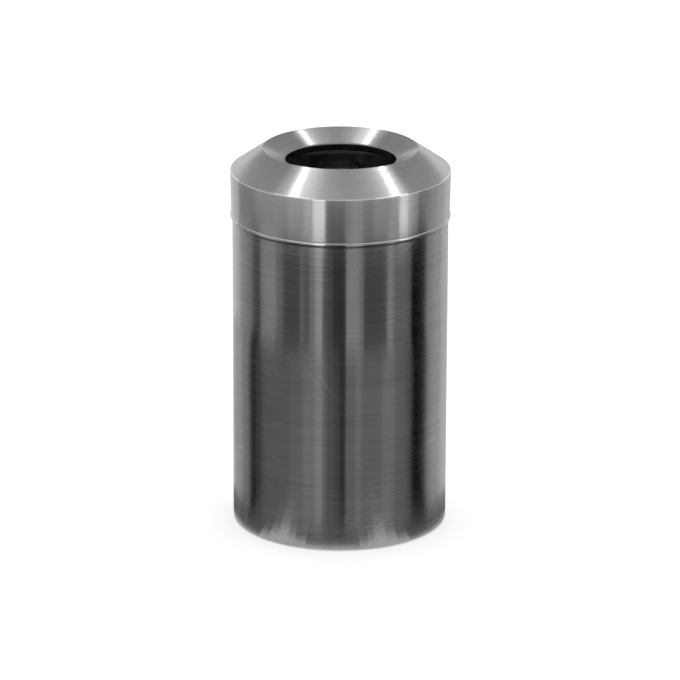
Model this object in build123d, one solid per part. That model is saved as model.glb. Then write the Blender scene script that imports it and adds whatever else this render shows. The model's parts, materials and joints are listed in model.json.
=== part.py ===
from build123d import *
from math import asin, atan2, cos, degrees, radians, sin, sqrt
import os

# Waste bin with a cone top, in millimetres.
# The origin is on the floor under the middle of the bin, +Z is up and -Y is the front.

# Sheet metal
sheet = 0.8
joint_gap = 0.1
rest_gap = 0.3

# Body shell: rolled sheet with hemmed edges and a rolled stop bead
body_radius = 175.0
floor_gap = 2.0
hem_width = 4.0
hem_tail = 6.0
bead_height = 519.2
bead_radius = 4.0
bead_proud = 3.7
bead_root_fillet = 1.2
neck_length = 58.8
lap_width = 12.0
seam_azimuth = 12.3

# Base pan: pressed floor of the body
pan_height = 18.0
pan_dish_radius = 92.0
pan_dish_rise = 3.0
pan_dish_run = 6.0
pan_bend_radius = 2.5

# Rubber feet and what holds them
foot_inset = 37.0
foot_top_radius = 16.0
foot_bottom_radius = 14.0
foot_edge_fillet = 1.5
foot_recess_radius = 7.0
foot_recess_depth = 9.0
washer_radius = 6.5
washer_thickness = 1.2
rivet_shank_radius = 2.4
rivet_head_radius = 4.6
rivet_head_height = 1.9

# Liner: lift-out bucket
liner_gap = 15.0
liner_rim_drop = 37.0
liner_base_gap = 0.5
liner_dish_radius = 84.0
liner_dish_rise = 2.5
rim_wire_radius = 2.0
rim_wire_gap = 0.2
rim_curl_sweep = 262.0
liner_lap_width = 7.0

# Bail and its ears
bail_azimuth = 8.5
bail_wire_radius = 2.5
bail_hole_gap = 0.25
bail_spread = 2.3
bail_hook_width = 9.2
bail_hook_tail = 8.0
bail_hook_bend = 4.0
pivot_rise = 6.0
ear_width = 18.0
ear_thickness = 1.5
ear_top_rise = 14.0
ear_reach = 27.0
ear_rivet_shank_radius = 2.0
ear_rivet_head_radius = 3.2
ear_rivet_head_height = 1.4
ear_rivet_drop = 12.0
ear_rivet_spacing = 9.5

# Lid
skirt_clearance = 1.1
skirt_height = 70.75
skirt_flare = 1.5
crest_radius = 125.7
crest_rise = 36.0
hole_radius = 89.2
funnel_depth = 18.2
throat_length = 11.0
throat_curl_radius = 1.6

# Places worked out from the sizes above
hem_radius = hem_width / 2
lap_depth = sheet / 2 + sheet
bead_middle_radius = body_radius + bead_proud - bead_radius
neck_top = bead_height + neck_length
pan_floor = pan_height - sheet
liner_radius = body_radius - liner_gap
liner_inner_radius = liner_radius - sheet
liner_rim_top = neck_top - liner_rim_drop
rim_curl_inner = rim_wire_radius + rim_wire_gap
rim_curl_height = liner_rim_top - rim_curl_inner - sheet
pivot_height = liner_rim_top + pivot_rise
bail_radius = liner_radius + bail_spread
bail_rest_angle = -degrees(asin((pivot_rise - bail_wire_radius - rest_gap) / bail_radius))
ear_outer_radius = liner_inner_radius - joint_gap / 2
ear_inner_radius = ear_outer_radius - ear_thickness
skirt_low_radius = body_radius + skirt_clearance + sheet
skirt_contact = skirt_low_radius - sheet - bead_middle_radius
skirt_bottom = bead_height + sqrt(bead_radius**2 - skirt_contact**2) + rest_gap
skirt_top = skirt_bottom + skirt_height
skirt_top_radius = skirt_low_radius + skirt_flare
crest_height = skirt_top + crest_rise
hole_height = crest_height - funnel_depth
foot_height = pan_floor
foot_offset = (body_radius - foot_inset) * cos(radians(45))
foot_bore_radius = rivet_shank_radius + joint_gap / 2
foot_places = {
    "front_left": (-foot_offset, -foot_offset),
    "front_right": (foot_offset, -foot_offset),
    "rear_left": (-foot_offset, foot_offset),
    "rear_right": (foot_offset, foot_offset),
}
ear_bore_radius = ear_rivet_shank_radius + joint_gap / 2
ear_azimuths = {"rear": bail_azimuth, "front": bail_azimuth + 180}


def lathe(outline, arc=360.0):
    """Turn a closed outline, drawn as radius and height, about the bin's axis."""
    return revolve(Plane.XZ * make_face(outline), Axis.Z, arc)


def sheet_ring(skin, thickness, side, arc=360.0):
    """Turn a sheet profile: its skin line, thickened to one side."""
    return lathe(skin.offset_2d(thickness, side=side, closed=True), arc)


def joined(*edges):
    """One line from edges that follow each other."""
    return Wire([part.edge() for part in edges])


def cutter(radius, reach):
    """Round cutter along Z that reaches as far below the origin as above it."""
    return Cylinder(radius, 2 * reach)


def post(radius, height):
    """Cylinder that stands on the origin."""
    return Cylinder(radius, height, align=(Align.CENTER, Align.CENTER, Align.MIN))


def turned(shape, azimuth):
    """Move what lies on the +Y side to an azimuth right of the back, seen from the front."""
    return Rot(0, 0, -azimuth) * shape


# Body shell

def beaded_wall(inset, low, high):
    """Wall with the stop bead and its root fillets, at a distance inside the outer face."""
    wall = body_radius - inset
    bead = bead_radius - inset
    root = bead_root_fillet + inset
    root_offset = wall + root - bead_middle_radius
    root_rise = sqrt((bead + root)**2 - root_offset**2)
    swing = degrees(atan2(root_rise, root_offset))
    low_root = bead_height - root_rise
    high_root = bead_height + root_rise
    return [
        Line((wall, low), (wall, low_root)),
        CenterArc((wall + root, low_root), root, 180, -swing),
        CenterArc((bead_middle_radius, bead_height), bead, -swing, 2 * swing),
        CenterArc((wall + root, high_root), root, swing - 180, -swing),
        Line((wall, high_root), (wall, high)),
    ]


def make_body_shell():
    low = floor_gap + hem_radius
    high = neck_top - hem_radius
    inner = body_radius - hem_width
    skin = joined(
        Line((inner, low + hem_tail), (inner, low)),
        CenterArc((inner + hem_radius, low), hem_radius, 180, 180),
        *beaded_wall(0, low, high),
        CenterArc((inner + hem_radius, high), hem_radius, 0, 180),
        Line((inner, high), (inner, high - hem_tail)),
    )
    shell = sheet_ring(skin, sheet, Side.LEFT)
    lap_line = joined(*beaded_wall(sheet / 2, pan_height + hem_width, high - hem_tail - hem_width))
    lap = sheet_ring(lap_line, lap_depth, Side.LEFT, degrees(lap_width / body_radius))
    return shell + turned(Rot(0, 0, 90) * lap, seam_azimuth)


def dished_pan(wall_radius, hem_floor, top, dish_radius, dish_rise):
    """Pressed disc with a raised middle and a flange that stands in a hem."""
    flange = wall_radius - sheet - joint_gap
    hem_inner = hem_radius - sheet
    flange_offset = flange - wall_radius + hem_radius
    flange_bottom = hem_floor + hem_radius - sqrt(hem_inner**2 - flange_offset**2) + rest_gap
    line = FilletPolyline(
        (0, top + dish_rise),
        (dish_radius, top + dish_rise),
        (dish_radius + pan_dish_run, top),
        (flange, top),
        (flange, flange_bottom),
        radius=pan_bend_radius,
    )
    return sheet_ring(Wire(line.edges()), sheet, Side.RIGHT)


def make_base_pan():
    pan = dished_pan(body_radius, floor_gap, pan_height, pan_dish_radius, pan_dish_rise)
    for x, y in foot_places.values():
        pan -= Pos(x, y, pan_height) * cutter(foot_bore_radius, pan_height)
    return pan


# Feet

def make_foot():
    standing = (Align.CENTER, Align.CENTER, Align.MIN)
    cone = Cone(foot_bottom_radius, foot_top_radius, foot_height, align=standing)
    cone = fillet(cone.edges().group_by(Axis.Z)[0], foot_edge_fillet)
    return cone - post(foot_recess_radius, foot_recess_depth) - post(foot_bore_radius, foot_height)


def make_washer():
    ring = post(washer_radius, washer_thickness) - post(foot_bore_radius, washer_thickness)
    return Pos(0, 0, foot_recess_depth - washer_thickness) * ring


def domed_head(radius, height):
    """Rivet head with its flat face at the origin, its dome towards +Z."""
    ball = (radius**2 + height**2) / (2 * height)
    dome = Pos(0, 0, height - ball) * Sphere(ball)
    return dome & post(ball, height)


def rivet(shank_radius, low, high, head_radius, head_height):
    """Rivet along +Z with a domed head outside each end of its grip."""
    shank = post(shank_radius, high - low)
    head = domed_head(head_radius, head_height)
    return Pos(0, 0, low) * shank + Pos(0, 0, high) * head + Pos(0, 0, low) * Rot(180, 0, 0) * head


def make_foot_rivets():
    grip_low = foot_recess_depth - washer_thickness
    one = rivet(rivet_shank_radius, grip_low, pan_height, rivet_head_radius, rivet_head_height)
    return Compound([Pos(x, y, 0) * one for x, y in foot_places.values()])


def make_foot_washers():
    return Compound([Pos(x, y, 0) * make_washer() for x, y in foot_places.values()])


# Liner

def make_liner_shell():
    low = pan_height + hem_radius
    inner = liner_radius - hem_width
    skin = joined(
        Line((inner, low + hem_tail), (inner, low)),
        CenterArc((inner + hem_radius, low), hem_radius, 180, 180),
        Line((liner_radius, low), (liner_radius, rim_curl_height)),
        CenterArc((liner_radius + rim_curl_inner, rim_curl_height), rim_curl_inner, 180, -rim_curl_sweep),
    )
    shell = sheet_ring(skin, sheet, Side.LEFT)
    lap_low = (liner_radius - sheet / 2, low + hem_width)
    lap_high = (liner_radius - sheet / 2, rim_curl_height - hem_width)
    lap_line = joined(Line(lap_low, lap_high))
    lap = sheet_ring(lap_line, lap_depth, Side.RIGHT, degrees(liner_lap_width / liner_radius))
    shell += turned(Rot(0, 0, 90) * lap, seam_azimuth + 180)
    for place in ear_rivet_places():
        shell -= place * cutter(ear_bore_radius, liner_gap)
    return shell


def make_liner_rim_wire():
    middle = liner_radius + rim_curl_inner
    return Pos(0, 0, rim_curl_height) * Torus(middle, rim_wire_radius)


def make_liner_base():
    top = pan_height + hem_radius + hem_tail + liner_base_gap + sheet
    return dished_pan(liner_radius, pan_height, top, liner_dish_radius, liner_dish_rise)


# Bail ears

def outward(azimuth, height):
    """Frame on the axis whose +Z points outwards at an azimuth right of the back."""
    bearing = radians(azimuth)
    return Plane(origin=(0, 0, height), x_dir=(0, 0, 1), z_dir=(sin(bearing), cos(bearing), 0))


def ear_rivet_places(sides=("rear", "front")):
    """Frames on the liner's wall, one for each ear rivet."""
    places = []
    for side in sides:
        for step in (0, 1):
            height = liner_rim_top - ear_rivet_drop - step * ear_rivet_spacing
            places.append(outward(ear_azimuths[side], height) * Pos(0, 0, liner_inner_radius))
    return places


def make_ear(side):
    """Curved plate inside the liner's wall that stands up past the rim."""
    half = ear_width / 2
    low = -ear_reach - pivot_rise
    high = ear_top_rise - pivot_rise
    blank = Pos(low, 0) * Rectangle(high - half - low, ear_width, align=(Align.MIN, Align.CENTER))
    blank += Pos(high - half, 0) * Circle(half)
    blank -= Circle(bail_wire_radius + bail_hole_gap)
    slab = outward(ear_azimuths[side], pivot_height) * extrude(blank, liner_radius)
    wall = post(ear_outer_radius, crest_height) - post(ear_inner_radius, crest_height)
    plate = slab & wall
    for place in ear_rivet_places((side,)):
        plate -= place * cutter(ear_bore_radius, liner_gap)
    return plate


def make_ear_rivets():
    grip_low = ear_inner_radius - liner_inner_radius
    one = rivet(ear_rivet_shank_radius, grip_low - joint_gap, sheet + joint_gap,
                ear_rivet_head_radius, ear_rivet_head_height)
    return Compound([place * one for place in ear_rivet_places()])


# Bail

def make_bail_handle():
    """Half-round wire bail whose ends hook inwards through the ears."""
    hook = bail_radius - bail_hook_width
    bend = bail_hook_bend
    tangent = sqrt((bail_radius - bend)**2 - bend**2)
    swing = degrees(asin(bend / (bail_radius - bend)))
    line = joined(
        Line((hook, bail_hook_tail), (hook, bend)),
        CenterArc((hook + bend, bend), bend, 180, 90),
        Line((hook + bend, 0), (tangent, 0)),
        CenterArc((tangent, bend), bend, -90, 90 + swing),
        CenterArc((0, 0), bail_radius, swing, 180 - 2 * swing),
        CenterArc((-tangent, bend), bend, 180 - swing, 90 + swing),
        Line((-tangent, 0), (-hook - bend, 0)),
        CenterArc((-hook - bend, bend), bend, 270, 90),
        Line((-hook, bend), (-hook, bail_hook_tail)),
    )
    lean = radians(bail_rest_angle)
    bearing = radians(bail_azimuth)
    along = Vector(sin(bearing), cos(bearing), 0)
    across = Vector(-cos(bearing) * cos(lean), sin(bearing) * cos(lean), sin(lean))
    frame = Plane(origin=(0, 0, pivot_height), x_dir=along, z_dir=along.cross(across))
    path = frame * line
    section = Plane(origin=path @ 0, z_dir=path % 0) * Circle(bail_wire_radius)
    return sweep(section, path)


# Lid

def inset_corner(before, here, after):
    """Corner of the sheet's inner face, under a corner of its outer line."""
    first = Vector(*here) - Vector(*before)
    second = Vector(*after) - Vector(*here)
    normal_a = Vector(-first.Y, first.X).normalized()
    normal_b = Vector(-second.Y, second.X).normalized()
    corner = Vector(*here) + (normal_a + normal_b) * (sheet / (1 + normal_a.dot(normal_b)))
    return (corner.X, corner.Y)


lid_line = [
    (skirt_low_radius, skirt_bottom),
    (skirt_top_radius, skirt_top),
    (crest_radius, crest_height),
    (hole_radius, hole_height),
    (hole_radius, hole_height - throat_length),
]
lid_inner_line = [
    (skirt_low_radius - sheet, skirt_bottom),
    inset_corner(*lid_line[0:3]),
    inset_corner(*lid_line[1:4]),
    inset_corner(*lid_line[2:5]),
]


def make_lid_band(start):
    """One ring of the lid, mitred against its neighbours."""
    outer_a, outer_b = lid_line[start:start + 2]
    inner_a, inner_b = lid_inner_line[start:start + 2]
    return lathe(Polyline(outer_a, outer_b, inner_b, inner_a, close=True))


def make_throat_ring():
    """Collar under the opening with its lower edge curled outwards."""
    outer_top = lid_line[3]
    inner_top = lid_inner_line[3]
    curl_height = outer_top[1] - throat_length
    middle = (hole_radius + throat_curl_radius, curl_height)
    bore = throat_curl_radius - sheet
    outline = joined(
        Line(outer_top, (hole_radius, curl_height)),
        CenterArc(middle, throat_curl_radius, 180, 180),
        Line((middle[0] + throat_curl_radius, curl_height), (middle[0] + bore, curl_height)),
        CenterArc(middle, bore, 0, -180),
        Line((middle[0] - bore, curl_height), inner_top),
        Line(inner_top, outer_top),
    )
    return lathe(outline)


parts = {
    "body_shell": make_body_shell(),
    "base_pan": make_base_pan(),
    "foot_washers": make_foot_washers(),
    "foot_rivets": make_foot_rivets(),
    "liner_shell": make_liner_shell(),
    "liner_base": make_liner_base(),
    "liner_rim_wire": make_liner_rim_wire(),
    "bail_ear_front": make_ear("front"),
    "bail_ear_rear": make_ear("rear"),
    "ear_rivets": make_ear_rivets(),
    "bail_handle": make_bail_handle(),
    "lid_skirt": make_lid_band(0),
    "lid_outer_cone": make_lid_band(1),
    "lid_funnel": make_lid_band(2),
    "throat_ring": make_throat_ring(),
}
for name, (x, y) in foot_places.items():
    parts["foot_" + name] = Pos(x, y, 0) * make_foot()

os.makedirs("parts", exist_ok=True)
for name, shape in parts.items():
    export_step(shape, f"parts/{name}.step")
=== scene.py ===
import json
from math import atan2, cos, degrees, pi, radians, sin, sqrt, tan

import bpy
from bpy.props import FloatProperty, FloatVectorProperty, IntProperty, PointerProperty
from bpy.types import Operator, Panel, PropertyGroup
from mathutils import Matrix, Vector


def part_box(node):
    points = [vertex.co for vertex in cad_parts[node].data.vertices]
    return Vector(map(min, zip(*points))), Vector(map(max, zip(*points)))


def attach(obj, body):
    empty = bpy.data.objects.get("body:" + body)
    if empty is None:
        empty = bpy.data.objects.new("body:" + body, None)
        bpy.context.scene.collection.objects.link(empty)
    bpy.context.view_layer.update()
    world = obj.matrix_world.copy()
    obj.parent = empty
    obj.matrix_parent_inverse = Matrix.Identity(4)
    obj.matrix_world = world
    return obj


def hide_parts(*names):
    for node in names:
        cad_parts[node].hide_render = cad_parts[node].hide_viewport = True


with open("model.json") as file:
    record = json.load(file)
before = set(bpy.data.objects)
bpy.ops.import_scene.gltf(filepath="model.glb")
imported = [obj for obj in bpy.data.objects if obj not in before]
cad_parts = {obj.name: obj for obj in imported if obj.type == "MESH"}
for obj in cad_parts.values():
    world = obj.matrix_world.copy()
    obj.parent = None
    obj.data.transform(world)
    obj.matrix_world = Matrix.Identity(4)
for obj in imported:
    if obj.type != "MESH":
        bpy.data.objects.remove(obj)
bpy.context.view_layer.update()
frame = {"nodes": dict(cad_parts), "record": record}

bl_info = {
    "name": "Cone Top Waste Bin",
    "version": (1, 0, 0),
    "blender": (4, 5, 0),
    "location": "3D View > Sidebar > Waste Bin",
    "description": "Turns a cone top waste bin's sheet metal and gives it its brushed steel finish",
    "category": "Add Mesh",
}


# Sizes that a user would change

def length(name, description, default):
    """A size in metres."""
    return FloatProperty(name=name, description=description, default=default, unit="LENGTH", precision=4)


def turn(name, description, default):
    """An angle."""
    return FloatProperty(name=name, description=description, default=radians(default), unit="ROTATION")


def colour(name, description, default):
    """A linear colour."""
    return FloatVectorProperty(name=name, description=description, default=default, subtype="COLOR",
                               size=3, min=0.0, max=1.0)


def share(name, description, default):
    """A number from nought to one."""
    return FloatProperty(name=name, description=description, default=default, subtype="FACTOR",
                         min=0.0, max=1.0)


class BinSizes(PropertyGroup):
    """Sizes of the sheet metal."""
    segments: IntProperty(name="Segments", description="Flats round a turned ring", default=256, min=32)
    arc_steps: IntProperty(name="Arc steps", description="Steps in a small bend of the sheet",
                           default=8, min=3)
    sheet: length("Sheet", "Thickness of the sheet", 0.0008)
    joint_gap: length("Joint gap", "Gap between sheets that lie on each other", 0.0001)
    hem_width: length("Hem width", "Width of a folded edge", 0.004)
    hem_tail: length("Hem tail", "Straight end of a folded edge", 0.006)
    bead_radius: length("Bead radius", "Radius of the stop bead round the body", 0.004)
    bead_proud: length("Bead stand", "How far the bead stands out of the body", 0.0037)
    bead_root: length("Bead root", "Radius of the bends beside the bead", 0.0012)
    skirt_flare: length("Skirt flare", "How much wider the lid's skirt is at its top", 0.0015)
    fold_radius: length("Fold radius", "Radius of the bends between the lid's rings", 0.0011)
    hole_fold: length("Hole fold", "Radius of the bend round the opening", 0.003)
    throat_curl: length("Throat curl", "Radius of the curled edge under the opening", 0.0016)
    lap_width: length("Lap width", "Width of the body's lapped seam", 0.012)
    seam_azimuth: turn("Seam azimuth", "Where the seams stand, right of the back", 12.3)
    rim_wire: length("Rim wire", "Radius of the wire in the bucket's rim", 0.002)
    rim_gap: length("Rim gap", "Gap between the rim wire and the sheet curled round it", 0.0002)
    rim_sweep: turn("Rim sweep", "How far the bucket's rim curls round its wire", 262.0)
    rest_gap: length("Rest gap", "Gap under the lid where it stands on the bead", 0.0003)


class BinFinish(PropertyGroup):
    """Colours and roughness of the finishes."""
    body_colour: colour("Body steel", "Colour of the body's brushed steel", (0.50, 0.50, 0.505))
    body_roughness: share("Body roughness", "Roughness of the body's steel", 0.25)
    # The inner face is lighter than the body's steel, as painted light inside the bin
    inner_colour_with_painted_light: colour("Inner steel", "Colour of the sheet's inner face", (0.62, 0.62, 0.625))
    lid_colour: colour("Lid steel", "Colour of the lid's satin steel", (0.60, 0.60, 0.605))
    lid_roughness: share("Lid roughness", "Roughness of the lid's steel", 0.28)
    # The collar is darker than the lid's steel, as painted shade in the opening
    throat_colour_with_painted_shade: colour("Collar", "Colour of the collar in the opening", (0.45, 0.45, 0.455))
    throat_roughness: share("Collar roughness", "Roughness of the polished collar", 0.08)
    zinc_colour: colour("Galvanised steel", "Colour of the bucket's zinc coat", (0.50, 0.51, 0.525))
    zinc_roughness: share("Galvanised roughness", "Roughness of the zinc coat", 0.42)
    wire_colour: colour("Bright zinc", "Colour of plated wire and fasteners", (0.60, 0.605, 0.60))
    wire_roughness: share("Bright zinc roughness", "Roughness of plated wire and fasteners", 0.3)
    rubber_colour: colour("Rubber", "Colour of the feet", (0.022, 0.022, 0.023))
    rubber_roughness: share("Rubber roughness", "Roughness of the feet", 0.72)


class BinStage(PropertyGroup):
    """Camera and light."""
    camera_distance: length("Camera distance", "From the bin's axis to the camera, along the floor", 7.0)
    camera_height: length("Camera height", "Height of the camera over the floor", 2.6355)
    camera_pitch: turn("Camera pitch", "How far the camera looks down", 18.43)
    camera_roll: turn("Camera roll", "How far the camera leans", 0.2)
    lens: FloatProperty(name="Lens", description="Focal length in millimetres", default=239.0)
    card_radius: length("Card radius", "Radius of the ring of cards that the steel reflects", 0.24)
    wall_radius: length("Wall radius", "Radius of the wide wall over the cards", 3.0)
    ceiling_height: length("Ceiling height", "Height of the ceiling over the floor", 6.2)


# Turned sheet metal

# Points nearer than this, in metres, are one. Bends sharper than this, in degrees, stay edges.
WELD_DISTANCE = 1e-6
SHARP_ANGLE = 32.0

# Flats across the body's lapped seam
LAP_FLATS = 4


def arc(centre, radius, start, sweep, steps):
    """Points of an arc in an outline, given by its angles in radians."""
    return [(centre[0] + radius * cos(start + sweep * i / steps),
             centre[1] + radius * sin(start + sweep * i / steps)) for i in range(steps + 1)]


def rounded(before, corner, after, radius, steps):
    """Points of the bend that rounds a corner of an outline."""
    one = (Vector(before) - Vector(corner)).normalized()
    two = (Vector(after) - Vector(corner)).normalized()
    half = one.angle(two) / 2
    middle = Vector(corner) + (one + two).normalized() * (radius / sin(half))
    first = Vector(corner) + one * (radius / tan(half)) - middle
    last = Vector(corner) + two * (radius / tan(half)) - middle
    start = atan2(first.y, first.x)
    sweep = atan2(last.y, last.x) - start
    sweep = (sweep + pi) % (2 * pi) - pi
    return arc(middle, radius, start, sweep, steps)


def deselect():
    """Leave nothing selected, so that an operator acts on its own piece alone."""
    if bpy.context.object and bpy.context.object.mode != "OBJECT":
        bpy.ops.object.mode_set(mode="OBJECT")
    bpy.ops.object.select_all(action="DESELECT")


def draw_ring(name, outline, segments):
    """Draw a circle at the outline's first point and extrude its edge along the outline."""
    radius, height = outline[0]
    deselect()
    bpy.ops.mesh.primitive_circle_add(vertices=segments, radius=radius, location=(0, 0, height))
    piece = bpy.context.object
    piece.name = name
    piece.data.name = name
    bpy.ops.object.transform_apply(location=True, rotation=True, scale=True)
    bpy.ops.object.mode_set(mode="EDIT")
    bpy.ops.mesh.select_all(action="SELECT")
    for (r0, z0), (r1, z1) in zip(outline, outline[1:]):
        bpy.ops.mesh.extrude_region_move(TRANSFORM_OT_translate={"value": (0, 0, z1 - z0)})
        bpy.ops.transform.resize(value=(r1 / r0, r1 / r0, 1), center_override=(0, 0, z1))
    bpy.ops.object.mode_set(mode="OBJECT")
    return piece


def face_outwards(piece, side):
    """Point all the faces of an open sheet to one side, tested on its widest face."""
    bpy.ops.object.mode_set(mode="EDIT")
    bpy.ops.mesh.select_all(action="SELECT")
    bpy.ops.mesh.remove_doubles(threshold=WELD_DISTANCE)
    bpy.ops.mesh.normals_make_consistent(inside=False)
    bpy.ops.object.mode_set(mode="OBJECT")
    face = max(piece.data.polygons, key=lambda f: f.area)
    if face.normal.dot(side(face.center)) < 0:
        bpy.ops.object.mode_set(mode="EDIT")
        bpy.ops.mesh.flip_normals()
        bpy.ops.object.mode_set(mode="OBJECT")


def away_from_axis(point):
    """Direction from the bin's axis to a point."""
    return Vector((point.x, point.y, 0))


def upwards(point):
    """Straight up, whatever the point."""
    return Vector((0, 0, 1))


def give_thickness(piece, sheet, inner_slot=0):
    """Give an open sheet its thickness behind its faces."""
    bpy.ops.object.modifier_add(type="SOLIDIFY")
    solid = piece.modifiers[-1]
    solid.thickness = sheet
    solid.offset = -1
    solid.use_even_offset = True
    solid.material_offset = inner_slot
    bpy.ops.object.modifier_apply(modifier=solid.name)


def smooth(piece):
    """Shade the bends smooth and keep the sheet's edges sharp."""
    deselect()
    piece.select_set(True)
    bpy.context.view_layer.objects.active = piece
    bpy.ops.object.shade_smooth_by_angle(angle=radians(SHARP_ANGLE))


def turned_sheet(name, outline, side, materials, sheet, segments, inner_slot=0):
    """A ring of sheet metal from its outer outline."""
    piece = draw_ring(name, outline, segments)
    face_outwards(piece, side)
    for material in materials:
        piece.data.materials.append(material)
    give_thickness(piece, sheet, inner_slot)
    smooth(piece)
    return piece


def stand_in_for(piece, node):
    """Put a finished piece in its node's place, on its body."""
    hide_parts(node)
    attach(piece, body_named(node))


def body_named(node):
    """Body that a node belongs to."""
    for body, members in frame["record"]["behaviour"]["bodies"].items():
        if node in members:
            return body
    raise RuntimeError("no body holds " + node)


# Shader nodes

# How often each pattern repeats in a metre, along x, y and z. The brushed lines run round the z axis.
HAIR_GRAIN = (9, 9, 2600)
LINE_GRAIN = (5, 5, 300)
BAND_GRAIN = (2.2, 2.2, 60)
MARK_GRAIN = (6, 6, 330)
# Upright streaks, painted reflections on the sheet's inner face
REFLECTION_STREAK_GRAIN = (26, 26, 0.8)

# Scale of the softer patterns, which are as wide as they are high
CLOUD_SCALE = 7.0
WANDER_SCALE = 4.0
LEVEL_PATCH_SCALE = 11.0
LEANING_PATCH_SCALE = 6.5
WARP_SCALE = 55.0
WIPED_SCALE = 9.0
WEAR_SCALE = 38.0

# How much each pattern counts in the brushed steel
HAIR_SHARE = 0.35
LINE_SHARE = 0.65
BAND_SHARE = 0.35
TONE_TINT = 0.45
SMUDGE_TINT = -0.35
SCRATCH_TINT = 0.4
TONE_ROUGHNESS = 0.10
SMUDGE_ROUGHNESS = 0.16
GRAIN_RELIEF = 0.6
SCRATCH_RELIEF = 0.5

# Scratches: half the width of the band of noise that makes one, the noise at which a patch of them starts
# and is full, and how far their lines wander in height, in metres
MARK_WIDTH = 0.02
PATCH_START = 0.50
PATCH_FULL = 0.66
WANDER_HEIGHT = 0.16

# Band of wear polish that also carries a painted highlight: share of the roughness lost, lighter tint of
# the painted highlight, and where both have faded out, as a multiple of its width
POLISH_LOSS = 0.72
PAINTED_HIGHLIGHT_TINT = 0.65
POLISH_AND_HIGHLIGHT_FADE = 1.5

# Where wear polish carries a painted highlight, and where painted shade darkens the groove under the bead,
# in metres. Lift and drop are measured from the bead's middle. The darkness is what the painted shade takes
# off the tint.
BEAD_POLISH_AND_HIGHLIGHT_LIFT = 0.002
BEAD_POLISH_AND_HIGHLIGHT_WIDTH = 0.0025
FOLD_POLISH_AND_HIGHLIGHT_WIDTH = 0.0009
GROOVE_DROP = 0.0038
GROOVE_SHADE_WIDTH = 0.0015
GROOVE_SHADE_FADE = 0.0028
GROOVE_SHADE_DARKNESS = 0.55

# Zinc and plated wire
WARP_REACH = (0.012, 0.012, 0.012)
SPANGLE_DULLNESS = 0.3
SPANGLE_TINT = 0.45
SPANGLE_ROUGHNESS = 0.3
SPECK_SHARE = 0.5
WEAR_SHARE = 0.5
SPECK_TINT = 1.6


def node(tree, kind, **settings):
    """Add a shader node and set its properties."""
    made = tree.nodes.new(kind)
    for name, value in settings.items():
        setattr(made, name, value)
    return made


def feed(tree, target, **sources):
    """Set a node's inputs from sockets or plain values, by name with underscores or as i and a number."""
    for name, source in sources.items():
        key = int(name[1:]) if name[1:].isdigit() else name.replace("_", " ")
        socket = target.inputs[key]
        if isinstance(source, bpy.types.NodeSocket):
            tree.links.new(source, socket)
        else:
            socket.default_value = source
    return target


def math(tree, operation, first, second=0.0, clamp=False):
    """A Math node's value."""
    made = node(tree, "ShaderNodeMath", operation=operation, use_clamp=clamp)
    return feed(tree, made, i0=first, i1=second).outputs[0]


def stretch(tree, vector, scale):
    """A vector with each axis scaled by its own factor."""
    made = node(tree, "ShaderNodeVectorMath", operation="MULTIPLY")
    return feed(tree, made, i0=vector, i1=scale).outputs[0]


def noise(tree, vector, scale=1.0, detail=2.0, roughness=0.5):
    """A noise texture's value."""
    made = node(tree, "ShaderNodeTexNoise")
    feed(tree, made, Vector=vector, Scale=scale, Detail=detail, Roughness=roughness)
    return made.outputs[0]


def swing(tree, value, strength):
    """A noise's value moved to swing about nought, times a strength."""
    return math(tree, "MULTIPLY", math(tree, "SUBTRACT", value, 0.5), strength)


def ramp(tree, value, low, high, start=0.0, end=1.0):
    """A value taken from one range to another, with its ends held."""
    made = node(tree, "ShaderNodeMapRange", clamp=True)
    feed(tree, made, i0=value, i1=low, i2=high, i3=start, i4=end)
    return made.outputs[0]


def new_group(name, inputs, outputs):
    """An empty shader group with named sockets, and its two ends."""
    tree = bpy.data.node_groups.new(name, "ShaderNodeTree")
    for label, kind, default in inputs:
        socket = tree.interface.new_socket(label, in_out="INPUT", socket_type=kind)
        if default is not None:
            socket.default_value = default
    for label, kind in outputs:
        tree.interface.new_socket(label, in_out="OUTPUT", socket_type=kind)
    return tree, node(tree, "NodeGroupInput").outputs, node(tree, "NodeGroupOutput")


def long_marks(tree, parts, lift, patch_scale):
    """Thin long scratches, in patches, along lines of even height once a lift is added to the height."""
    lifted = math(tree, "ADD", parts.outputs[2], lift)
    swirl = node(tree, "ShaderNodeCombineXYZ")
    feed(tree, swirl, X=parts.outputs[0], Y=parts.outputs[1], Z=lifted)
    mark = noise(tree, stretch(tree, swirl.outputs[0], MARK_GRAIN), detail=1.0, roughness=0.4)
    away = math(tree, "ABSOLUTE", math(tree, "SUBTRACT", mark, 0.5))
    thin = ramp(tree, away, 0.0, MARK_WIDTH, 1.0, 0.0)
    patch = ramp(tree, noise(tree, swirl.outputs[0], patch_scale), PATCH_START, PATCH_FULL)
    return math(tree, "MULTIPLY", thin, patch)


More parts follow.
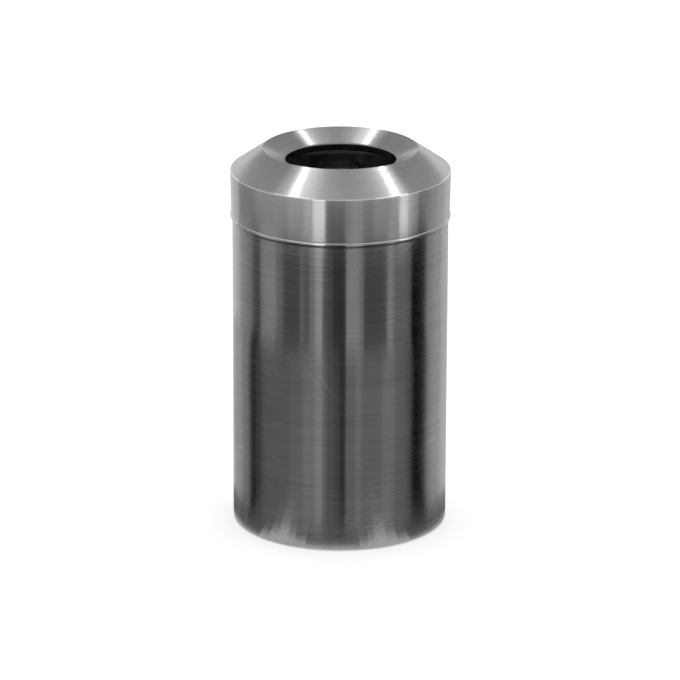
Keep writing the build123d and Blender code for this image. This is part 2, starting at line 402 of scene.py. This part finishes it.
def brushed_group():
    """Fine lines brushed round the bin's axis, wiped bands and long scratches, with a band of wear polish
    whose lighter tint is a painted highlight, painted shade in a groove and upright streaks of painted
    reflection.
    """
    tree, given, out = new_group(
        "Brushed round",
        (("Colour", "NodeSocketColor", None), ("Roughness", "NodeSocketFloat", 0.3),
         ("Grain", "NodeSocketFloat", 0.5), ("Scratches", "NodeSocketFloat", 0.5),
         ("Smudges", "NodeSocketFloat", 0.5), ("Polished height", "NodeSocketFloat", 0.5),
         ("Polished width", "NodeSocketFloat", 0.005), ("Rolled streaks", "NodeSocketFloat", 0.0),
         ("Groove height", "NodeSocketFloat", -1.0)),
        (("Colour", "NodeSocketColor"), ("Roughness", "NodeSocketFloat"), ("Normal", "NodeSocketVector")))
    place = node(tree, "ShaderNodeTexCoord").outputs["Object"]
    hair = noise(tree, stretch(tree, place, HAIR_GRAIN), detail=2.0, roughness=0.6)
    line = noise(tree, stretch(tree, place, LINE_GRAIN), detail=3.0, roughness=0.65)
    band = noise(tree, stretch(tree, place, BAND_GRAIN), detail=2.0)
    cloud = noise(tree, place, CLOUD_SCALE, detail=3.0, roughness=0.55)
    upright = noise(tree, stretch(tree, place, REFLECTION_STREAK_GRAIN), detail=1.0)
    parts = node(tree, "ShaderNodeSeparateXYZ")
    feed(tree, parts, i0=place)
    wander = math(tree, "MULTIPLY", noise(tree, place, WANDER_SCALE, detail=1.0), WANDER_HEIGHT)
    level_marks = long_marks(tree, parts, wander, LEVEL_PATCH_SCALE)
    lean = math(tree, "SUBTRACT", wander, math(tree, "ABSOLUTE", parts.outputs[0]))
    leaning_marks = long_marks(tree, parts, lean, LEANING_PATCH_SCALE)
    marks = math(tree, "ADD", level_marks, leaning_marks, clamp=True)
    scratch = math(tree, "MULTIPLY", marks, given["Scratches"])
    grain = math(tree, "ADD", math(tree, "MULTIPLY", hair, HAIR_SHARE),
                 math(tree, "MULTIPLY", line, LINE_SHARE))
    tone = math(tree, "ADD", swing(tree, grain, given["Grain"]), swing(tree, band, BAND_SHARE))
    dull = swing(tree, cloud, given["Smudges"])
    shade = math(tree, "ADD", math(tree, "ADD", 1.0, math(tree, "MULTIPLY", tone, TONE_TINT)),
                 math(tree, "ADD", math(tree, "MULTIPLY", dull, SMUDGE_TINT),
                      math(tree, "MULTIPLY", scratch, SCRATCH_TINT)))
    # Band of wear polish: less roughness, and a lighter tint there that is a painted highlight
    away = math(tree, "ABSOLUTE", math(tree, "SUBTRACT", parts.outputs[2], given["Polished height"]))
    faded = math(tree, "MULTIPLY", given["Polished width"], POLISH_AND_HIGHLIGHT_FADE)
    polish_and_highlight = ramp(tree, away, given["Polished width"], faded, POLISH_LOSS, 0.0)
    shade = math(tree, "ADD", shade, math(tree, "MULTIPLY", polish_and_highlight, PAINTED_HIGHLIGHT_TINT))
    # Painted shade: a darker tint along the groove under the bead, where shade falls
    below = math(tree, "ABSOLUTE", math(tree, "SUBTRACT", parts.outputs[2], given["Groove height"]))
    painted_groove_shade = ramp(tree, below, GROOVE_SHADE_WIDTH, GROOVE_SHADE_FADE, GROOVE_SHADE_DARKNESS, 0.0)
    shade = math(tree, "SUBTRACT", shade, painted_groove_shade)
    # Painted reflections: upright lighter and darker streaks in the tint
    streak = swing(tree, upright, given["Rolled streaks"])
    tint = node(tree, "ShaderNodeVectorMath", operation="SCALE")
    feed(tree, tint, i0=given["Colour"], Scale=math(tree, "ADD", shade, streak))
    rough = math(tree, "ADD", given["Roughness"], math(tree, "MULTIPLY", tone, TONE_ROUGHNESS))
    rough = math(tree, "ADD", rough, math(tree, "MULTIPLY", dull, SMUDGE_ROUGHNESS), clamp=True)
    rough = math(tree, "MULTIPLY", rough, math(tree, "SUBTRACT", 1.0, polish_and_highlight))
    height = math(tree, "SUBTRACT", math(tree, "MULTIPLY", grain, GRAIN_RELIEF),
                  math(tree, "MULTIPLY", scratch, SCRATCH_RELIEF))
    bump = node(tree, "ShaderNodeBump")
    feed(tree, bump, Strength=0.25, Distance=0.00012, Height=height)
    feed(tree, out, Colour=tint.outputs[0], Roughness=rough, Normal=bump.outputs[0])
    return tree


def spangle_group():
    """Crystals of a zinc coat, with a few wiped marks."""
    tree, given, out = new_group(
        "Zinc spangle",
        (("Colour", "NodeSocketColor", None), ("Roughness", "NodeSocketFloat", 0.4),
         ("Size", "NodeSocketFloat", 90.0), ("Contrast", "NodeSocketFloat", 0.5)),
        (("Colour", "NodeSocketColor"), ("Roughness", "NodeSocketFloat"), ("Normal", "NodeSocketVector")))
    place = node(tree, "ShaderNodeTexCoord").outputs["Object"]
    warp = node(tree, "ShaderNodeTexNoise")
    feed(tree, warp, Vector=place, Scale=WARP_SCALE, Detail=2.0)
    moved = node(tree, "ShaderNodeVectorMath", operation="MULTIPLY_ADD")
    feed(tree, moved, i0=warp.outputs["Color"], i1=WARP_REACH, i2=place)
    cells = node(tree, "ShaderNodeTexVoronoi", feature="F1")
    feed(tree, cells, Vector=moved.outputs[0], Scale=given["Size"], Randomness=1.0)
    crystal = node(tree, "ShaderNodeSeparateXYZ")
    feed(tree, crystal, i0=cells.outputs["Color"])
    wiped = noise(tree, place, WIPED_SCALE, detail=3.0, roughness=0.6)
    tone = swing(tree, crystal.outputs[0], given["Contrast"])
    dull = swing(tree, wiped, SPANGLE_DULLNESS)
    shade = math(tree, "ADD", math(tree, "MULTIPLY", tone, SPANGLE_TINT), math(tree, "SUBTRACT", 1.0, dull))
    tint = node(tree, "ShaderNodeVectorMath", operation="SCALE")
    feed(tree, tint, i0=given["Colour"], Scale=shade)
    rough = math(tree, "ADD", given["Roughness"], math(tree, "MULTIPLY", tone, SPANGLE_ROUGHNESS))
    rough = math(tree, "ADD", rough, dull, clamp=True)
    bump = node(tree, "ShaderNodeBump")
    feed(tree, bump, Strength=0.3, Distance=0.0002, Height=crystal.outputs[1])
    feed(tree, out, Colour=tint.outputs[0], Roughness=rough, Normal=bump.outputs[0])
    return tree


def speck_group():
    """Fine even specks and soft wear, for plated wire and moulded rubber."""
    tree, given, out = new_group(
        "Fine specks",
        (("Colour", "NodeSocketColor", None), ("Roughness", "NodeSocketFloat", 0.4),
         ("Size", "NodeSocketFloat", 900.0), ("Contrast", "NodeSocketFloat", 0.3)),
        (("Colour", "NodeSocketColor"), ("Roughness", "NodeSocketFloat"), ("Normal", "NodeSocketVector")))
    place = node(tree, "ShaderNodeTexCoord").outputs["Object"]
    speck = noise(tree, place, given["Size"], detail=2.0, roughness=0.6)
    wear = noise(tree, place, WEAR_SCALE, detail=3.0, roughness=0.6)
    both = math(tree, "ADD", math(tree, "MULTIPLY", speck, SPECK_SHARE),
                math(tree, "MULTIPLY", wear, WEAR_SHARE))
    tone = swing(tree, both, given["Contrast"])
    shade = math(tree, "ADD", 1.0, math(tree, "MULTIPLY", tone, SPECK_TINT))
    tint = node(tree, "ShaderNodeVectorMath", operation="SCALE")
    feed(tree, tint, i0=given["Colour"], Scale=shade)
    rough = math(tree, "ADD", given["Roughness"], tone, clamp=True)
    bump = node(tree, "ShaderNodeBump")
    feed(tree, bump, Strength=0.3, Distance=0.0001, Height=speck)
    feed(tree, out, Colour=tint.outputs[0], Roughness=rough, Normal=bump.outputs[0])
    return tree


def shared_group(name, build):
    """A shader group, built the first time that a material needs it."""
    return bpy.data.node_groups.get(name) or build()


def finish(name, group, colour, roughness, metallic=1.0, anisotropic=0.0, **settings):
    """A material whose colour, roughness and normal come from a shared group."""
    if name in bpy.data.materials:
        return bpy.data.materials[name]
    material = bpy.data.materials.new(name)
    material.use_nodes = True
    tree = material.node_tree
    shader = tree.nodes["Principled BSDF"]
    effect = node(tree, "ShaderNodeGroup", node_tree=group)
    feed(tree, effect, Colour=(*colour, 1.0), Roughness=roughness, **settings)
    feed(tree, shader, Metallic=metallic, Base_Color=effect.outputs["Colour"],
         Roughness=effect.outputs["Roughness"], Normal=effect.outputs["Normal"])
    if anisotropic:
        around = node(tree, "ShaderNodeTangent", direction_type="RADIAL", axis="Z")
        feed(tree, shader, Anisotropic=anisotropic, Anisotropic_Rotation=0.25, Tangent=around.outputs[0])
    return material


def body_steel():
    """Brushed steel of the body's outer face, with wear polish and a painted highlight on top of the bead,
    and painted shade in the groove under it.
    """
    look = bpy.context.scene.bin_finish
    bead = bead_height(frame_places(), bpy.context.scene.bin_sizes)
    return finish("Body steel", shared_group("Brushed round", brushed_group), look.body_colour,
                  look.body_roughness, anisotropic=1.0, Grain=1.6, Scratches=1.1, Smudges=0.7,
                  Polished_height=bead + BEAD_POLISH_AND_HIGHLIGHT_LIFT, Polished_width=BEAD_POLISH_AND_HIGHLIGHT_WIDTH,
                  Groove_height=bead - GROOVE_DROP)


def inner_steel():
    """Mill finish of the sheet's inner face, its colour lightened as painted light, with upright streaks
    that are painted reflections.
    """
    look = bpy.context.scene.bin_finish
    return finish("Inner steel", shared_group("Brushed round", brushed_group), look.inner_colour_with_painted_light,
                  look.body_roughness, anisotropic=0.7, Grain=0.3, Scratches=0.2, Smudges=0.4,
                  Rolled_streaks=2.2)


def lid_steel():
    """Satin steel of the lid, with wear polish at the skirt's top edge, where a lighter tint paints a
    highlight.
    """
    look = bpy.context.scene.bin_finish
    return finish("Lid steel", shared_group("Brushed round", brushed_group), look.lid_colour,
                  look.lid_roughness, anisotropic=1.0, Grain=0.8, Scratches=0.35, Smudges=0.5,
                  Polished_height=frame_places()["skirt_top"], Polished_width=FOLD_POLISH_AND_HIGHLIGHT_WIDTH)


def throat_steel():
    """Polished steel of the collar in the opening, its colour darkened as painted shade."""
    look = bpy.context.scene.bin_finish
    return finish("Throat steel", shared_group("Brushed round", brushed_group), look.throat_colour_with_painted_shade,
                  look.throat_roughness, Grain=0.2, Scratches=0.3, Smudges=0.3)


def galvanised_steel():
    """Spangled zinc coat of the bucket and the pan."""
    look = bpy.context.scene.bin_finish
    return finish("Galvanised steel", shared_group("Zinc spangle", spangle_group), look.zinc_colour,
                  look.zinc_roughness, Size=95.0, Contrast=0.55)


def plated_wire():
    """Bright zinc of the bail, rivets and washers."""
    look = bpy.context.scene.bin_finish
    return finish("Bright zinc", shared_group("Fine specks", speck_group), look.wire_colour,
                  look.wire_roughness, Size=1400.0, Contrast=0.25)


def foot_rubber():
    """Matt moulded rubber of the feet."""
    look = bpy.context.scene.bin_finish
    return finish("Foot rubber", shared_group("Fine specks", speck_group), look.rubber_colour,
                  look.rubber_roughness, metallic=0.0, Size=1100.0, Contrast=0.35)


# Places read from the frame

def frame_places():
    """Radii and heights of the bin's sheet metal, worked out from its nodes' boxes."""
    sizes = bpy.context.scene.bin_sizes
    body_low, body_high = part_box("body_shell")
    skirt_low, skirt_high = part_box("lid_skirt")
    funnel_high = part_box("lid_funnel")[1]
    throat_low, throat_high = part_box("throat_ring")
    liner_low, liner_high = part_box("liner_shell")
    return {
        "body_radius": body_high.x - sizes.bead_proud,
        "body_bottom": body_low.z,
        "body_top": body_high.z,
        "bead_middle": body_high.x - sizes.bead_radius,
        "skirt_bottom": skirt_low.z,
        "skirt_top": skirt_high.z,
        "skirt_radius": skirt_high.x,
        "crest_radius": funnel_high.x,
        "crest_height": funnel_high.z,
        "hole_radius": throat_high.x - 2 * sizes.throat_curl,
        "curl_height": throat_low.z + sizes.throat_curl,
        "liner_radius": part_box("liner_base")[1].x + sizes.sheet + sizes.joint_gap,
        "liner_bottom": liner_low.z,
        "liner_top": liner_high.z,
    }


def bead_height(places, sizes):
    """Height of the bead's middle, from where the skirt stands on it."""
    contact = places["skirt_radius"] - sizes.skirt_flare - sizes.sheet - places["bead_middle"]
    return places["skirt_bottom"] - sizes.rest_gap - sqrt(sizes.bead_radius ** 2 - contact ** 2)


def beaded_wall(places, sizes, inset, low, high):
    """Outline of the wall with its bead and the bends beside it, at a distance inside the outer face."""
    wall = places["body_radius"] - inset
    bead = sizes.bead_radius - inset
    root = sizes.bead_root + inset
    middle = places["bead_middle"]
    height = bead_height(places, sizes)
    across = wall + root - middle
    rise = sqrt((bead + root) ** 2 - across ** 2)
    swing = atan2(rise, across)
    return [
        (wall, low),
        *arc((wall + root, height - rise), root, pi, -swing, sizes.arc_steps),
        *arc((middle, height), bead, -swing, 2 * swing, 2 * sizes.arc_steps)[1:],
        *arc((wall + root, height + rise), root, swing - pi, -swing, sizes.arc_steps)[1:],
        (wall, high),
    ]


# Pieces

class WASTEBIN_OT_body_shell(Operator):
    """Turn the body's wall with its hems and stop bead, and add its seam's lap"""
    bl_idname = "wastebin.body_shell"
    bl_label = "Body Shell"

    def execute(self, context):
        sizes = context.scene.bin_sizes
        places = frame_places()
        hem = sizes.hem_width / 2
        inner = places["body_radius"] - sizes.hem_width
        low = places["body_bottom"] + hem
        high = places["body_top"] - hem
        outline = [
            (inner, low + sizes.hem_tail),
            *arc((inner + hem, low), hem, pi, pi, sizes.arc_steps),
            *beaded_wall(places, sizes, 0, low, high)[1:-1],
            *arc((inner + hem, high), hem, 0, pi, sizes.arc_steps),
            (inner, high - sizes.hem_tail),
        ]
        shell = turned_sheet("body_shell_wall", outline, away_from_axis, (body_steel(), inner_steel()),
                             sizes.sheet, sizes.segments, 1)
        lap = self.make_lap(places, sizes, low + sizes.hem_tail, high - sizes.hem_tail)
        deselect()
        lap.select_set(True)
        shell.select_set(True)
        context.view_layer.objects.active = shell
        bpy.ops.object.join()
        stand_in_for(shell, "body_shell")
        return {"FINISHED"}

    def make_lap(self, places, sizes, low, high):
        """The strip inside the wall where one end of the sheet overlaps the other."""
        width = sizes.lap_width / places["body_radius"]
        outline = beaded_wall(places, sizes, sizes.sheet, low + sizes.hem_width, high - sizes.hem_width)
        lap = draw_ring("seam_lap", outline, round(LAP_FLATS * 2 * pi / width))
        bpy.ops.object.mode_set(mode="EDIT")
        bpy.ops.mesh.select_mode(type="VERT")
        bpy.ops.mesh.select_all(action="DESELECT")
        bpy.ops.object.mode_set(mode="OBJECT")
        left = sizes.seam_azimuth - width
        right = sizes.seam_azimuth + width / LAP_FLATS
        for vertex in lap.data.vertices:
            vertex.select = not left < atan2(vertex.co.x, vertex.co.y) <= right
        bpy.ops.object.mode_set(mode="EDIT")
        bpy.ops.mesh.delete(type="VERT")
        bpy.ops.object.mode_set(mode="OBJECT")
        face_outwards(lap, away_from_axis)
        lap.data.materials.append(body_steel())
        lap.data.materials.append(inner_steel())
        give_thickness(lap, sizes.sheet, 1)
        smooth(lap)
        return lap


class WASTEBIN_OT_lid(Operator):
    """Turn the lid's skirt, outer cone and funnel, with rounded bends between them"""
    bl_idname = "wastebin.lid"
    bl_label = "Lid"

    def execute(self, context):
        sizes = context.scene.bin_sizes
        places = frame_places()
        corners = [
            (places["skirt_radius"] - sizes.skirt_flare, places["skirt_bottom"]),
            (places["skirt_radius"], places["skirt_top"]),
            (places["crest_radius"], places["crest_height"]),
            (places["hole_radius"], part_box("throat_ring")[1].z),
            (places["hole_radius"], places["curl_height"]),
        ]
        steps = sizes.arc_steps
        radii = (sizes.fold_radius, sizes.fold_radius, sizes.hole_fold)
        bends = [rounded(*corners[i:i + 3], radius, 2 * steps) for i, radius in enumerate(radii)]
        rings = {
            "lid_skirt": [corners[0], *bends[0][:steps + 1]],
            "lid_outer_cone": [*bends[0][steps:], *bends[1][:steps + 1]],
            "lid_funnel": [*bends[1][steps:], *bends[2]],
        }
        sides = {"lid_skirt": away_from_axis, "lid_outer_cone": upwards, "lid_funnel": upwards}
        for name, outline in rings.items():
            ring = turned_sheet(name + "_sheet", outline, sides[name], (lid_steel(), inner_steel()),
                                sizes.sheet, sizes.segments, 1)
            stand_in_for(ring, name)
        self.make_throat(places, sizes, bends[2][-1])
        return {"FINISHED"}

    def make_throat(self, places, sizes, top):
        """The collar under the opening's fold, curled outwards at its lower edge."""
        curl = sizes.throat_curl
        middle = (places["hole_radius"] + curl, places["curl_height"])
        outline = [top, *arc(middle, curl, pi, pi, sizes.arc_steps)]
        throat = turned_sheet("throat_collar", outline, lambda point: -away_from_axis(point),
                              (throat_steel(), inner_steel()), sizes.sheet, sizes.segments, 1)
        stand_in_for(throat, "throat_ring")


class WASTEBIN_OT_liner(Operator):
    """Turn the bucket's wall with its curled rim"""
    bl_idname = "wastebin.liner"
    bl_label = "Bucket Wall"

    def execute(self, context):
        sizes = context.scene.bin_sizes
        places = frame_places()
        hem = sizes.hem_width / 2
        radius = places["liner_radius"]
        inner = radius - sizes.hem_width
        low = places["liner_bottom"] + hem
        curl = sizes.rim_wire + sizes.rim_gap
        curl_height = places["liner_top"] - curl - sizes.sheet
        outline = [
            (inner, low + sizes.hem_tail),
            *arc((inner + hem, low), hem, pi, pi, sizes.arc_steps),
            *arc((radius + curl, curl_height), curl, pi, -sizes.rim_sweep, 3 * sizes.arc_steps),
        ]
        wall = turned_sheet("bucket_wall", outline, away_from_axis, (galvanised_steel(),),
                            sizes.sheet, sizes.segments)
        stand_in_for(wall, "liner_shell")
        return {"FINISHED"}


class WASTEBIN_OT_fittings(Operator):
    """Give the pieces that keep their own shape their finish"""
    bl_idname = "wastebin.fittings"
    bl_label = "Fittings"

    def execute(self, context):
        finishes = {
            "galvanised_steel": galvanised_steel,
            "bail_wire": plated_wire,
            "fastener_steel": plated_wire,
            "foot_rubber": foot_rubber,
        }
        slots = {part["node"]: part["material_slot"] for part in frame["record"]["subparts"]}
        for name, piece in frame["nodes"].items():
            if slots[name] in finishes:
                piece.data.materials.clear()
                piece.data.materials.append(finishes[slots[name]]())
        return {"FINISHED"}


# Stage

# Brightness of each shade of card
SHADES = {
    "black": 0.0, "ink": 0.04, "dark": 0.09, "dim": 0.13, "slate": 0.17, "grey": 0.2, "mid": 0.27,
    "soft": 0.36, "pale": 0.46, "light": 0.62, "white": 0.76, "glare": 1.15,
}

# Rows of cards round the bin: bottom, top, then each card's shade and where it ends, in degrees right of
# the camera side. The first card of a row starts behind the bin.
CARD_ROWS = (
    (0.0, 0.31, (
        ("soft", -171), ("dim", -164), ("light", -150), ("grey", -140), ("white", -115), ("pale", -90),
        ("mid", -77), ("black", -68), ("dark", -61), ("slate", -36), ("grey", -26), ("mid", -17),
        ("soft", -12), ("grey", -9), ("dim", -4), ("dark", 0), ("ink", 4), ("grey", 11), ("mid", 15),
        ("grey", 30), ("mid", 40), ("grey", 48), ("slate", 53), ("dark", 56), ("black", 70),
        ("grey", 74), ("soft", 80), ("pale", 95), ("light", 138), ("grey", 147), ("white", 158),
        ("dim", 165), ("mid", 180))),
    (0.31, 0.505, (
        ("soft", -171), ("dark", -164), ("light", -150), ("grey", -140), ("white", -105), ("light", -92),
        ("soft", -80), ("mid", -72), ("dark", -62), ("soft", -47), ("grey", -41), ("dark", -28),
        ("grey", -25), ("dim", -21), ("mid", -17), ("pale", -12), ("dim", -9), ("dark", -5), ("ink", 4),
        ("soft", 13), ("mid", 16), ("dark", 33), ("soft", 38), ("grey", 53), ("black", 69), ("mid", 73),
        ("soft", 80), ("pale", 95), ("light", 138), ("grey", 147), ("white", 158), ("dark", 165),
        ("mid", 180))),
    (0.505, 0.6, (
        ("soft", -171), ("grey", -164), ("light", -150), ("mid", -140), ("white", -105), ("light", -90),
        ("mid", -65), ("soft", -36), ("pale", -24), ("light", -18), ("glare", -10), ("mid", -8),
        ("slate", 3), ("mid", 7), ("soft", 15), ("mid", 22), ("soft", 34), ("pale", 41), ("glare", 48),
        ("light", 52), ("pale", 57), ("grey", 65), ("mid", 72), ("soft", 80), ("pale", 95),
        ("light", 138), ("mid", 147), ("white", 158), ("grey", 165), ("soft", 180))),
    (0.6, 0.66, (("white", 180),)),
)

# Dim cards that lie on the floor: inner radius of each, and where it ends. White floor shows inside them.
FLOOR_CARDS = (
    (0.182, -52), (0.193, -46), (0.208, -41), (0.225, -34), (0.208, -28), (0.197, -20), (0.188, 12),
    (0.197, 18), (0.208, 23), (0.225, 31), (0.208, 37), (0.193, 44), (0.182, 180),
)
FLOOR_CARD_SHADE = "dim"
FLOOR_CARD_HEIGHT = 0.001
CARD_STEPS = 360

# The wide wall over the cards is in two parts. It and the ceiling show in the steel alone.
NEAR_WALL_TOP = 1.25
NEAR_WALL_LEVEL = 0.8
UPPER_WALL_LEVEL = 0.33
CEILING_SPAN = 3
CEILING_LEVEL = 0.45

# Floor and sky: what the camera sees, what the steel reflects and, of the sky, the light that it gives
FLOOR_SIZE = 30
FLOOR_COLOUR = (0.8, 0.8, 0.8, 1)
FLOOR_SEEN = 0.42
FLOOR_MIRRORED = 0.25
SKY_SEEN = 1.0
SKY_LIGHT = 0.95

CAMERA_REACH = 60.0
LAMP_AIM = (0, 0, 0.61)
LAMP_DISTANCE = 5.0

# Lamps: name, direction from the point they aim at, size in metres and power in watts
LAMPS = (
    ("left_lamp", (-0.316, 0.315, 0.895), 0.27, 10.0),
    ("left_glow", (-0.25, 0.33, 0.91), 1.1, 7.0),
    ("left_halo", (-0.29, 0.32, 0.9), 2.4, 10.0),
    ("right_lamp", (0.368, 0.349, 0.862), 0.27, 10.0),
    ("right_glow", (0.368, 0.349, 0.862), 1.1, 6.0),
    ("right_halo", (0.368, 0.349, 0.862), 2.4, 10.0),
)


def glow(name, level):
    """A card's even brightness."""
    material = bpy.data.materials.new(name)
    material.use_nodes = True
    tree = material.node_tree
    tree.nodes.clear()
    light = node(tree, "ShaderNodeEmission")
    feed(tree, light, Color=(1, 1, 1, 1), Strength=level)
    out = node(tree, "ShaderNodeOutputMaterial")
    feed(tree, out, Surface=light.outputs[0])
    return material


def only_reflected(piece):
    """Let a card show in the steel and nowhere else, so it blocks no light and no view."""
    piece.visible_camera = False
    piece.visible_diffuse = False
    piece.visible_transmission = False
    piece.visible_volume_scatter = False
    piece.visible_shadow = False


class WASTEBIN_OT_stage(Operator):
    """Set the floor, the cards that the steel reflects, the lamps and the camera"""
    bl_idname = "wastebin.stage"
    bl_label = "Stage"

    def execute(self, context):
        settings = context.scene.bin_stage
        self.floor()
        self.cards(settings)
        self.sky(context.scene)
        self.lamps()
        self.camera(context.scene, settings)
        context.scene.view_settings.view_transform = "Standard"
        return {"FINISHED"}

    def floor(self):
        """A wide pale floor that keeps the bin's shadow."""
        deselect()
        bpy.ops.mesh.primitive_plane_add(size=FLOOR_SIZE)
        floor = bpy.context.object
        floor.name = "floor"
        material = bpy.data.materials.new("Floor")
        material.use_nodes = True
        tree = material.node_tree
        shader = tree.nodes["Principled BSDF"]
        feed(tree, shader, Base_Color=FLOOR_COLOUR, Roughness=0.9, Specular_IOR_Level=0.0,
             Emission_Color=(1, 1, 1, 1))
        path = node(tree, "ShaderNodeLightPath")
        seen = math(tree, "MULTIPLY", path.outputs["Is Camera Ray"], FLOOR_SEEN)
        mirrored = math(tree, "MULTIPLY", path.outputs["Is Glossy Ray"], FLOOR_MIRRORED)
        feed(tree, shader, Emission_Strength=math(tree, "ADD", seen, mirrored))
        floor.data.materials.append(material)

    def cards(self, settings):
        """Rows of cards close round the bin, and a wide grey wall and a ceiling above them."""
        shades = {name: glow("Card " + name, level) for name, level in SHADES.items()}
        ring = settings.card_radius
        for row, (low, high, cards) in enumerate(CARD_ROWS):
            start = -180
            for number, (shade, end) in enumerate(cards):
                self.card("card_%d_%02d" % (row, number), [(ring, low), (ring, high)], start, end,
                          shades[shade])
                start = end
        start = -180
        for number, (inner, end) in enumerate(FLOOR_CARDS):
            outline = [(inner, FLOOR_CARD_HEIGHT), (ring, FLOOR_CARD_HEIGHT)]
            self.card("floor_card_%02d" % number, outline, start, end, shades[FLOOR_CARD_SHADE])
            start = end
        wide = settings.wall_radius
        walls = (
            ("near_wall", CARD_ROWS[-1][1], NEAR_WALL_TOP, NEAR_WALL_LEVEL),
            ("upper_wall", NEAR_WALL_TOP, settings.ceiling_height, UPPER_WALL_LEVEL),
        )
        for name, bottom, top, level in walls:
            self.card(name, [(wide, bottom), (wide, top)], -180, 180, glow(name, level))
        deselect()
        bpy.ops.mesh.primitive_plane_add(size=CEILING_SPAN * wide, location=(0, 0, settings.ceiling_height))
        ceiling = bpy.context.object
        ceiling.name = "ceiling"
        ceiling.data.materials.append(glow("Ceiling", CEILING_LEVEL))
        only_reflected(ceiling)

    def card(self, name, outline, start, end, material):
        """One card, curved round the bin's axis, from one azimuth to another."""
        ring = draw_ring(name, outline, CARD_STEPS)
        bpy.ops.object.mode_set(mode="EDIT")
        bpy.ops.mesh.select_mode(type="FACE")
        bpy.ops.mesh.select_all(action="DESELECT")
        bpy.ops.object.mode_set(mode="OBJECT")
        for face in ring.data.polygons:
            azimuth = degrees(atan2(face.center.x, -face.center.y))
            face.select = not start < azimuth < end
        bpy.ops.object.mode_set(mode="EDIT")
        bpy.ops.mesh.delete(type="FACE")
        bpy.ops.mesh.select_mode(type="VERT")
        bpy.ops.object.mode_set(mode="OBJECT")
        ring.data.materials.append(material)
        only_reflected(ring)

    def sky(self, scene):
        """An even white sky, that gives a little less light than it shows."""
        world = bpy.data.worlds.new("Sky")
        scene.world = world
        world.use_nodes = True
        tree = world.node_tree
        background = tree.nodes["Background"]
        path = node(tree, "ShaderNodeLightPath")
        seen = math(tree, "MAXIMUM", path.outputs["Is Camera Ray"], path.outputs["Is Glossy Ray"])
        seen = math(tree, "MAXIMUM", seen, path.outputs["Is Transmission Ray"])
        level = ramp(tree, seen, 0.0, 1.0, SKY_LIGHT, SKY_SEEN)
        feed(tree, background, Color=(1, 1, 1, 1), Strength=level)

    def lamps(self):
        """Overhead lamps that streak the lid on each side, each with a softer glow round it."""
        aim = Vector(LAMP_AIM)
        for name, direction, size, power in LAMPS:
            place = aim + Vector(direction).normalized() * LAMP_DISTANCE
            self.lamp(name, place, aim, size, power)

    def lamp(self, name, place, aim, size, power):
        """One square lamp aimed at a point."""
        deselect()
        bpy.ops.object.light_add(type="AREA", location=place)
        lamp = bpy.context.object
        lamp.name = name
        lamp.data.size = size
        lamp.data.energy = power
        lamp.rotation_euler = (place - aim).to_track_quat("Z", "Y").to_euler()
        lamp.visible_camera = False
        lamp.visible_diffuse = False

    def camera(self, scene, settings):
        """The camera in front of the bin, looking down at it."""
        deselect()
        bpy.ops.object.camera_add(location=(0, -settings.camera_distance, settings.camera_height))
        camera = bpy.context.object
        camera.name = "camera"
        aim = Matrix.Rotation(pi / 2 - settings.camera_pitch, 4, "X")
        camera.rotation_euler = (aim @ Matrix.Rotation(settings.camera_roll, 4, "Z")).to_euler()
        camera.data.lens = settings.lens
        camera.data.clip_end = CAMERA_REACH
        scene.camera = camera


class WASTEBIN_PT_panel(Panel):
    """Sidebar panel that lists the bin's pieces, finishes and stage"""
    bl_idname = "WASTEBIN_PT_panel"
    bl_label = "Waste Bin"
    bl_space_type = "VIEW_3D"
    bl_region_type = "UI"
    bl_category = "Waste Bin"

    def draw(self, context):
        for step in STEPS:
            self.layout.operator(step.bl_idname)
        for group in (context.scene.bin_sizes, context.scene.bin_finish, context.scene.bin_stage):
            box = self.layout.box()
            for name in group.__annotations__:
                box.prop(group, name)


STEPS = (
    WASTEBIN_OT_body_shell,
    WASTEBIN_OT_lid,
    WASTEBIN_OT_liner,
    WASTEBIN_OT_fittings,
    WASTEBIN_OT_stage,
)
GROUPS = (BinSizes, BinFinish, BinStage)


def register():
    """Register the properties, the operators and the panel."""
    for kind in (*GROUPS, *STEPS, WASTEBIN_PT_panel):
        bpy.utils.register_class(kind)
    bpy.types.Scene.bin_sizes = PointerProperty(type=BinSizes)
    bpy.types.Scene.bin_finish = PointerProperty(type=BinFinish)
    bpy.types.Scene.bin_stage = PointerProperty(type=BinStage)


def unregister():
    """Remove what register added."""
    del bpy.types.Scene.bin_stage
    del bpy.types.Scene.bin_finish
    del bpy.types.Scene.bin_sizes
    for kind in reversed((*GROUPS, *STEPS, WASTEBIN_PT_panel)):
        bpy.utils.unregister_class(kind)


def main():
    """Make every piece and the stage."""
    register()
    bpy.ops.wastebin.body_shell()
    bpy.ops.wastebin.lid()
    bpy.ops.wastebin.liner()
    bpy.ops.wastebin.fittings()
    bpy.ops.wastebin.stage()


if __name__ == "__main__":
    main()
